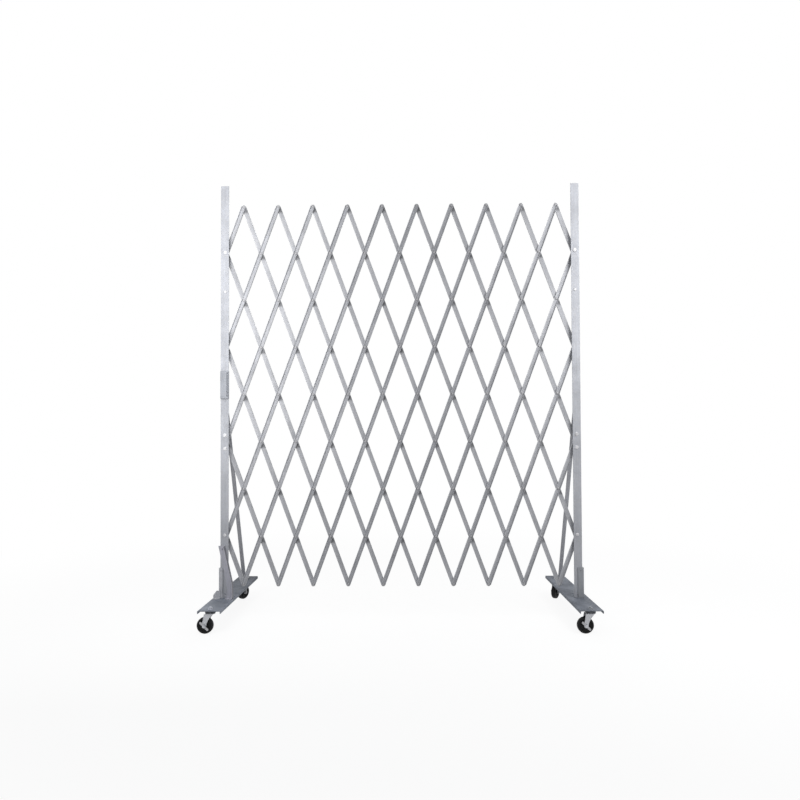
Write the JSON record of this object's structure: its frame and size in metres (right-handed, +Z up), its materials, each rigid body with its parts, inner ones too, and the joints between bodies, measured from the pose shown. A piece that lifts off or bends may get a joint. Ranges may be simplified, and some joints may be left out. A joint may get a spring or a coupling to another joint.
{
  "type": "folding lattice barrier",
  "caption": "Portable folding metal barrier: a riveted scissor lattice of channel bars between angle posts, each on a braced channel base with swivel casters.",
  "frame": {"origin": "centre of the bounding box at floor level, under the middle of the gate's width and depth", "axes": "+X to the right seen from the front, +Y to the back, +Z up"},
  "size_m": [1.7004, 0.64, 1.973],
  "materials": {
    "post_steel": "bright galvanised, satin",
    "front_bar_steel": "galvanised, satin",
    "rear_bar_steel": "galvanised, a little duller than the front bars",
    "base_steel": "galvanised, darker, matt",
    "brace_steel": "galvanised, dark, matt",
    "foot_steel": "galvanised, satin",
    "bolt_steel": "bright zinc plated",
    "lock_steel": "zinc plated, satin",
    "race_steel": "dark zinc plated",
    "fork_zinc": "bright zinc plated",
    "lever_zinc": "bright zinc plated",
    "wheel_rubber": "black, matt"
  },
  "bodies": {
    "left_stand": {"post_left": "post_steel", "pivot_bracket_left": "bolt_steel", "base_left": "base_steel", "brace_left": "brace_steel", "foot_bracket_left": "foot_steel", "knee_strap_left": "foot_steel", "foot_clip_left": "foot_steel", "lock_box_left": "lock_steel", "caster_top_left_front": "race_steel", "caster_top_left_rear": "race_steel"},
    "bar_front_03": {"bar_front_03": "front_bar_steel"},
    "bar_rear_02": {"bar_rear_02": "rear_bar_steel"},
    "bar_rear_03": {"bar_rear_03": "rear_bar_steel"},
    "bar_rear_04": {"bar_rear_04": "rear_bar_steel"},
    "bar_rear_05": {"bar_rear_05": "rear_bar_steel"},
    "bar_rear_06": {"bar_rear_06": "rear_bar_steel"},
    "bar_rear_07": {"bar_rear_07": "rear_bar_steel"},
    "bar_front_04": {"bar_front_04": "front_bar_steel"},
    "bar_front_05": {"bar_front_05": "front_bar_steel"},
    "bar_front_06": {"bar_front_06": "front_bar_steel"},
    "bar_front_02": {"bar_front_02": "front_bar_steel"},
    "bar_front_07": {"bar_front_07": "front_bar_steel"},
    "bar_front_01": {"bar_front_01": "front_bar_steel"},
    "bar_front_08": {"bar_front_08": "front_bar_steel"},
    "bar_front_09": {"bar_front_09": "front_bar_steel"},
    "bar_front_10": {"bar_front_10": "front_bar_steel"},
    "bar_front_11": {"bar_front_11": "front_bar_steel"},
    "bar_rear_01": {"bar_rear_01": "rear_bar_steel"},
    "bar_rear_08": {"bar_rear_08": "rear_bar_steel"},
    "bar_rear_09": {"bar_rear_09": "rear_bar_steel"},
    "bar_rear_10": {"bar_rear_10": "rear_bar_steel"},
    "bar_rear_11": {"bar_rear_11": "rear_bar_steel"},
    "bar_rear_12": {"bar_rear_12": "rear_bar_steel"},
    "bar_rear_13": {"bar_rear_13": "rear_bar_steel"},
    "bar_rear_14": {"bar_rear_14": "rear_bar_steel"},
    "bar_front_12": {"bar_front_12": "front_bar_steel"},
    "bar_front_13": {"bar_front_13": "front_bar_steel"},
    "bar_front_14": {"bar_front_14": "front_bar_steel"},
    "right_stand": {"post_right": "post_steel", "pivot_bracket_right": "bolt_steel", "base_right": "base_steel", "brace_right": "brace_steel", "foot_bracket_right": "foot_steel", "caster_top_right_front": "race_steel", "caster_top_right_rear": "race_steel"},
    "caster_fork_left_front": {"caster_fork_left_front": "fork_zinc"},
    "wheel_left_front": {"wheel_left_front": "wheel_rubber"},
    "brake_lever_left_front": {"brake_lever_left_front": "lever_zinc"},
    "caster_fork_left_rear": {"caster_fork_left_rear": "fork_zinc"},
    "wheel_left_rear": {"wheel_left_rear": "wheel_rubber"},
    "caster_fork_right_front": {"caster_fork_right_front": "fork_zinc"},
    "wheel_right_front": {"wheel_right_front": "wheel_rubber"},
    "brake_lever_right_front": {"brake_lever_right_front": "lever_zinc"},
    "caster_fork_right_rear": {"caster_fork_right_rear": "fork_zinc"},
    "wheel_right_rear": {"wheel_right_rear": "wheel_rubber"}
  },
  "joints": [
    {"name": "gate_fold", "type": "hinge", "parent": "left_stand", "child": "bar_front_03", "pos_m": [-0.78744, -0.093, 0.8035], "axis": [0, 1, 0], "range_deg": [-17, 11.5]},
    {"name": "pivot_bar_rear_02", "type": "hinge", "parent": "left_stand", "child": "bar_rear_02", "pos_m": [-0.78744, -0.093, 0.8035], "axis": [0, 1, 0], "range_deg": [-12, 17.5]},
    {"name": "pivot_bar_rear_03", "type": "hinge", "parent": "bar_front_03", "child": "bar_rear_03", "pos_m": [-0.70802, -0.093, 1.01935], "axis": [0, 1, 0], "range_deg": [-24, 35]},
    {"name": "pivot_bar_rear_04", "type": "hinge", "parent": "bar_front_03", "child": "bar_rear_04", "pos_m": [-0.6286, -0.093, 1.23521], "axis": [0, 1, 0], "range_deg": [-24, 35]},
    {"name": "pivot_bar_rear_05", "type": "hinge", "parent": "bar_front_03", "child": "bar_rear_05", "pos_m": [-0.54918, -0.093, 1.45106], "axis": [0, 1, 0], "range_deg": [-24, 35]},
    {"name": "pivot_bar_rear_06", "type": "hinge", "parent": "bar_front_03", "child": "bar_rear_06", "pos_m": [-0.46976, -0.093, 1.66691], "axis": [0, 1, 0], "range_deg": [-24, 35]},
    {"name": "pivot_bar_rear_07", "type": "hinge", "parent": "bar_front_03", "child": "bar_rear_07", "pos_m": [-0.39034, -0.093, 1.88277], "axis": [0, 1, 0], "range_deg": [-24, 35]},
    {"name": "pivot_bar_front_04", "type": "hinge", "parent": "bar_rear_02", "child": "bar_front_04", "pos_m": [-0.70802, -0.093, 0.58765], "axis": [0, 1, 0], "range_deg": [-35, 24]},
    {"name": "pivot_bar_front_05", "type": "hinge", "parent": "bar_rear_02", "child": "bar_front_05", "pos_m": [-0.6286, -0.093, 0.37179], "axis": [0, 1, 0], "range_deg": [-35, 24]},
    {"name": "pivot_bar_front_06", "type": "hinge", "parent": "bar_rear_02", "child": "bar_front_06", "pos_m": [-0.54918, -0.093, 0.15594], "axis": [0, 1, 0], "range_deg": [-35, 24]},
    {"name": "pivot_bar_front_02", "type": "hinge", "parent": "bar_rear_03", "child": "bar_front_02", "pos_m": [-0.78744, -0.093, 1.23521], "axis": [0, 1, 0], "range_deg": [-35, 24]},
    {"name": "pivot_bar_front_07", "type": "hinge", "parent": "bar_rear_03", "child": "bar_front_07", "pos_m": [-0.39034, -0.093, 0.15594], "axis": [0, 1, 0], "range_deg": [-35, 24]},
    {"name": "pivot_bar_front_01", "type": "hinge", "parent": "bar_rear_04", "child": "bar_front_01", "pos_m": [-0.78744, -0.093, 1.66691], "axis": [0, 1, 0], "range_deg": [-35, 24]},
    {"name": "pivot_bar_front_08", "type": "hinge", "parent": "bar_rear_04", "child": "bar_front_08", "pos_m": [-0.23151, -0.093, 0.15594], "axis": [0, 1, 0], "range_deg": [-35, 24]},
    {"name": "pivot_bar_front_09", "type": "hinge", "parent": "bar_rear_05", "child": "bar_front_09", "pos_m": [-0.07267, -0.093, 0.15594], "axis": [0, 1, 0], "range_deg": [-35, 24]},
    {"name": "pivot_bar_front_10", "type": "hinge", "parent": "bar_rear_06", "child": "bar_front_10", "pos_m": [0.08617, -0.093, 0.15594], "axis": [0, 1, 0], "range_deg": [-35, 24]},
    {"name": "pivot_bar_front_11", "type": "hinge", "parent": "bar_rear_07", "child": "bar_front_11", "pos_m": [0.24501, -0.093, 0.15594], "axis": [0, 1, 0], "range_deg": [-35, 24]},
    {"name": "pivot_bar_rear_01", "type": "hinge", "parent": "bar_front_04", "child": "bar_rear_01", "pos_m": [-0.78744, -0.093, 0.37179], "axis": [0, 1, 0], "range_deg": [-24, 35]},
    {"name": "pivot_bar_rear_08", "type": "hinge", "parent": "bar_front_04", "child": "bar_rear_08", "pos_m": [-0.23151, -0.093, 1.88277], "axis": [0, 1, 0], "range_deg": [-24, 35]},
    {"name": "pivot_bar_rear_09", "type": "hinge", "parent": "bar_front_05", "child": "bar_rear_09", "pos_m": [-0.07267, -0.093, 1.88277], "axis": [0, 1, 0], "range_deg": [-24, 35]},
    {"name": "pivot_bar_rear_10", "type": "hinge", "parent": "bar_front_06", "child": "bar_rear_10", "pos_m": [0.08617, -0.093, 1.88277], "axis": [0, 1, 0], "range_deg": [-24, 35]},
    {"name": "pivot_bar_rear_11", "type": "hinge", "parent": "bar_front_07", "child": "bar_rear_11", "pos_m": [0.24501, -0.093, 1.88277], "axis": [0, 1, 0], "range_deg": [-24, 35]},
    {"name": "pivot_bar_rear_12", "type": "hinge", "parent": "bar_front_08", "child": "bar_rear_12", "pos_m": [0.40384, -0.093, 1.88277], "axis": [0, 1, 0], "range_deg": [-24, 35]},
    {"name": "pivot_bar_rear_13", "type": "hinge", "parent": "bar_front_09", "child": "bar_rear_13", "pos_m": [0.56268, -0.093, 1.88277], "axis": [0, 1, 0], "range_deg": [-24, 35]},
    {"name": "pivot_bar_rear_14", "type": "hinge", "parent": "bar_front_10", "child": "bar_rear_14", "pos_m": [0.72152, -0.093, 1.88277], "axis": [0, 1, 0], "range_deg": [-24, 35]},
    {"name": "pivot_bar_front_12", "type": "hinge", "parent": "bar_rear_08", "child": "bar_front_12", "pos_m": [0.40384, -0.093, 0.15594], "axis": [0, 1, 0], "range_deg": [-35, 24]},
    {"name": "pivot_bar_front_13", "type": "hinge", "parent": "bar_rear_09", "child": "bar_front_13", "pos_m": [0.56268, -0.093, 0.15594], "axis": [0, 1, 0], "range_deg": [-35, 24]},
    {"name": "pivot_bar_front_14", "type": "hinge", "parent": "bar_rear_10", "child": "bar_front_14", "pos_m": [0.72152, -0.093, 0.15594], "axis": [0, 1, 0], "range_deg": [-35, 24]},
    {"name": "right_stand_pivot", "type": "hinge", "parent": "bar_rear_12", "child": "right_stand", "pos_m": [0.80094, -0.093, 0.8035], "axis": [0, 1, 0], "range_deg": [-17.5, 12]},
    {"name": "swivel_left_front", "type": "hinge", "parent": "left_stand", "child": "caster_fork_left_front", "pos_m": [-0.79344, -0.296, 0.0859], "axis": [0, 0, 1], "continuous": true},
    {"name": "roll_left_front", "type": "hinge", "parent": "caster_fork_left_front", "child": "wheel_left_front", "pos_m": [-0.81544, -0.296, 0.03457], "axis": [0, 1, 0], "continuous": true},
    {"name": "brake_left_front", "type": "hinge", "parent": "caster_fork_left_front", "child": "brake_lever_left_front", "pos_m": [-0.81544, -0.296, 0.03457], "axis": [0, 1, 0], "range_deg": [0, 25]},
    {"name": "swivel_left_rear", "type": "hinge", "parent": "left_stand", "child": "caster_fork_left_rear", "pos_m": [-0.79344, 0.275, 0.0859], "axis": [0, 0, 1], "continuous": true},
    {"name": "roll_left_rear", "type": "hinge", "parent": "caster_fork_left_rear", "child": "wheel_left_rear", "pos_m": [-0.80444, 0.25595, 0.03457], "axis": [-0.866, 0.5, 0], "continuous": true},
    {"name": "swivel_right_front", "type": "hinge", "parent": "right_stand", "child": "caster_fork_right_front", "pos_m": [0.80144, -0.296, 0.0859], "axis": [0, 0, 1], "continuous": true},
    {"name": "roll_right_front", "type": "hinge", "parent": "caster_fork_right_front", "child": "wheel_right_front", "pos_m": [0.77944, -0.296, 0.03457], "axis": [0, 1, 0], "continuous": true},
    {"name": "brake_right_front", "type": "hinge", "parent": "caster_fork_right_front", "child": "brake_lever_right_front", "pos_m": [0.77944, -0.296, 0.03457], "axis": [0, 1, 0], "range_deg": [0, 25]},
    {"name": "swivel_right_rear", "type": "hinge", "parent": "right_stand", "child": "caster_fork_right_rear", "pos_m": [0.80144, 0.275, 0.0859], "axis": [0, 0, 1], "continuous": true},
    {"name": "roll_right_rear", "type": "hinge", "parent": "caster_fork_right_rear", "child": "wheel_right_rear", "pos_m": [0.78882, 0.25698, 0.03457], "axis": [-0.8192, 0.5736, 0], "continuous": true}
  ],
  "couplings": [
    {"joint": "pivot_bar_rear_02", "follows": "gate_fold", "ratio": -1},
    {"joint": "pivot_bar_rear_03", "follows": "gate_fold", "ratio": -2},
    {"joint": "pivot_bar_rear_04", "follows": "gate_fold", "ratio": -2},
    {"joint": "pivot_bar_rear_05", "follows": "gate_fold", "ratio": -2},
    {"joint": "pivot_bar_rear_06", "follows": "gate_fold", "ratio": -2},
    {"joint": "pivot_bar_rear_07", "follows": "gate_fold", "ratio": -2},
    {"joint": "pivot_bar_front_04", "follows": "gate_fold", "ratio": 2},
    {"joint": "pivot_bar_front_05", "follows": "gate_fold", "ratio": 2},
    {"joint": "pivot_bar_front_06", "follows": "gate_fold", "ratio": 2},
    {"joint": "pivot_bar_front_02", "follows": "gate_fold", "ratio": 2},
    {"joint": "pivot_bar_front_07", "follows": "gate_fold", "ratio": 2},
    {"joint": "pivot_bar_front_01", "follows": "gate_fold", "ratio": 2},
    {"joint": "pivot_bar_front_08", "follows": "gate_fold", "ratio": 2},
    {"joint": "pivot_bar_front_09", "follows": "gate_fold", "ratio": 2},
    {"joint": "pivot_bar_front_10", "follows": "gate_fold", "ratio": 2},
    {"joint": "pivot_bar_front_11", "follows": "gate_fold", "ratio": 2},
    {"joint": "pivot_bar_rear_01", "follows": "gate_fold", "ratio": -2},
    {"joint": "pivot_bar_rear_08", "follows": "gate_fold", "ratio": -2},
    {"joint": "pivot_bar_rear_09", "follows": "gate_fold", "ratio": -2},
    {"joint": "pivot_bar_rear_10", "follows": "gate_fold", "ratio": -2},
    {"joint": "pivot_bar_rear_11", "follows": "gate_fold", "ratio": -2},
    {"joint": "pivot_bar_rear_12", "follows": "gate_fold", "ratio": -2},
    {"joint": "pivot_bar_rear_13", "follows": "gate_fold", "ratio": -2},
    {"joint": "pivot_bar_rear_14", "follows": "gate_fold", "ratio": -2},
    {"joint": "pivot_bar_front_12", "follows": "gate_fold", "ratio": 2},
    {"joint": "pivot_bar_front_13", "follows": "gate_fold", "ratio": 2},
    {"joint": "pivot_bar_front_14", "follows": "gate_fold", "ratio": 2},
    {"joint": "right_stand_pivot", "follows": "gate_fold", "ratio": 1}
  ]
}
